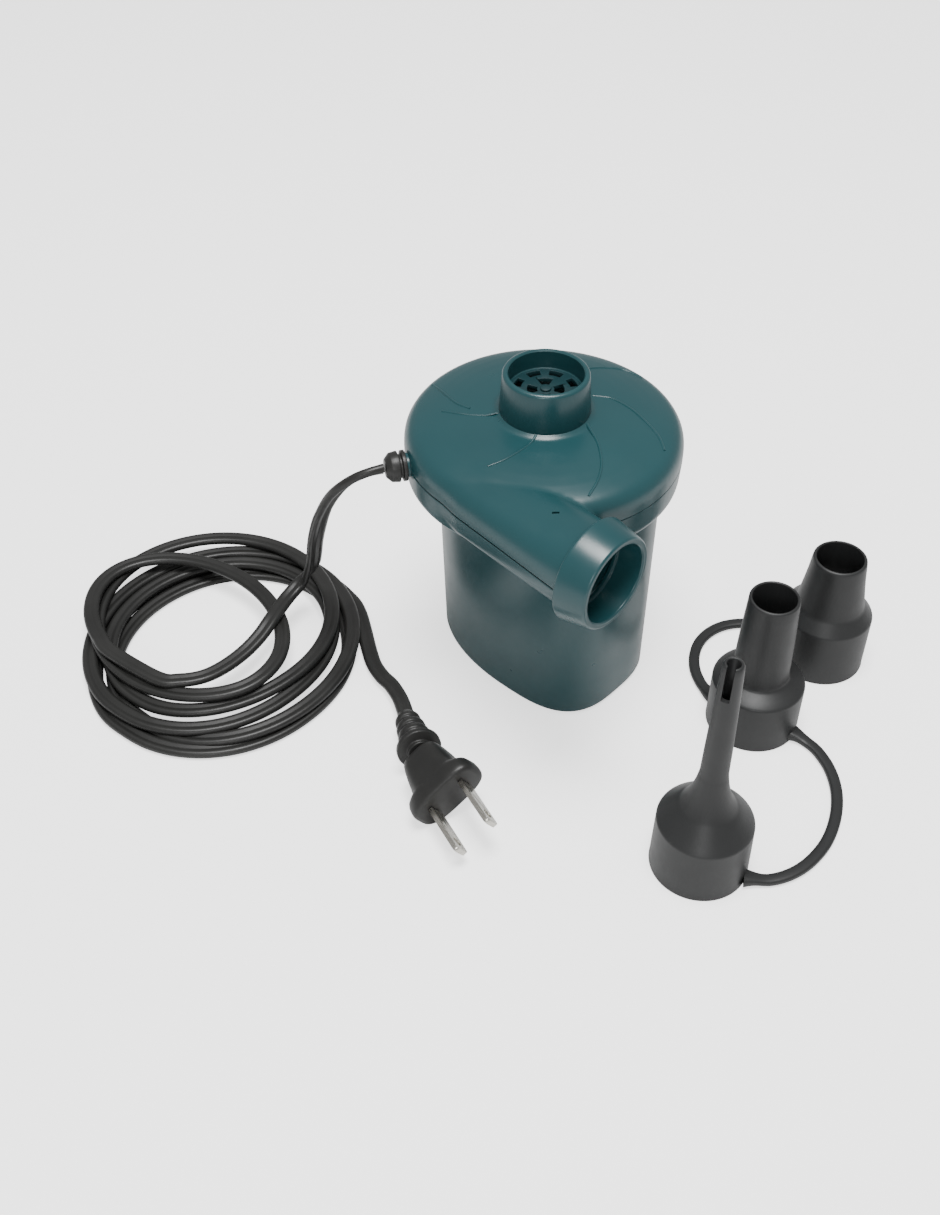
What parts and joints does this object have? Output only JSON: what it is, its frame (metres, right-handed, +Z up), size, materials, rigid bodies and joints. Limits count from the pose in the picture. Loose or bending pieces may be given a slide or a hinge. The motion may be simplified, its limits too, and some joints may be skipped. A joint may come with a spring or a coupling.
{
  "type": "electric air pump",
  "caption": "Small mains air pump for mattresses, with a round fan case over a tapered motor housing, a side outlet, a coiled flat cord with plug, and a tethered nozzle set.",
  "frame": {"origin": "on the pump's flat base at the floor, under the motor's axis", "axes": "+Z up along the motor's axis, +X the way the outlet blows, +Y completes the right-handed frame"},
  "size_m": [0.2618, 0.2094, 0.113],
  "materials": {
    "case": "satin moulded dark teal plastic",
    "grille": "moulded dark teal plastic",
    "screw": "zinc plated",
    "motor_plate": "black plastic",
    "bracket": "pressed steel",
    "bearing": "sintered bronze and brass",
    "lamination": "varnished steel laminations",
    "winding": "enamelled copper",
    "carbon": "pressed carbon",
    "fan": "grey moulded plastic",
    "cord_rubber": "black flexible plastic",
    "blade": "bright nickel plate",
    "nozzle": "soft charcoal plastic"
  },
  "bodies": {
    "pump": {"upper_cover": "case", "lower_shell": "case", "outlet_collar": "case", "motor_housing": "case", "intake_grille": "grille", "case_screw_1": "screw", "case_screw_2": "screw", "case_screw_3": "screw", "base_screw_1": "screw", "base_screw_2": "screw", "base_screw_3": "screw", "base_screw_4": "screw", "motor_plate": "motor_plate", "plate_screw_1": "screw", "plate_screw_2": "screw", "plate_screw_3": "screw", "motor_bracket_lower": "bracket", "motor_bracket_upper": "bracket", "bearing_lower": "bearing", "bearing_upper": "bearing", "stator_core": "lamination", "field_coil_a": "winding", "field_coil_b": "winding", "stator_bolt_a": "screw", "stator_bolt_b": "screw", "brush_holder_a": "bearing", "brush_holder_b": "bearing", "carbon_brush_a": "carbon", "carbon_brush_b": "carbon", "strain_relief": "cord_rubber", "cord_drop": "cord_rubber", "cord_coil": "cord_rubber", "cord_lead": "cord_rubber", "plug_relief": "cord_rubber", "plug_body": "cord_rubber", "plug_blade_a": "blade", "plug_blade_b": "blade"},
    "rotor": {"motor_shaft": "screw", "armature_core": "lamination", "armature_coil_upper": "winding", "armature_coil_lower": "winding", "commutator": "winding", "cooling_fan": "fan", "impeller": "fan", "impeller_nut": "screw"},
    "nozzle_set": {"nozzle_small": "nozzle", "nozzle_medium": "nozzle", "nozzle_large": "nozzle", "tether_a": "nozzle", "tether_b": "nozzle"}
  },
  "joints": [
    {"name": "rotor_spin", "type": "hinge", "parent": "pump", "child": "rotor", "pos_m": [0, 0, 0.0842], "axis": [0, 0, 1], "continuous": true},
    {"name": "nozzle_set_lift", "type": "slide", "parent": "pump", "child": "nozzle_set", "axis": [0, 0, 1], "range_m": [0, 0.06]}
  ]
}
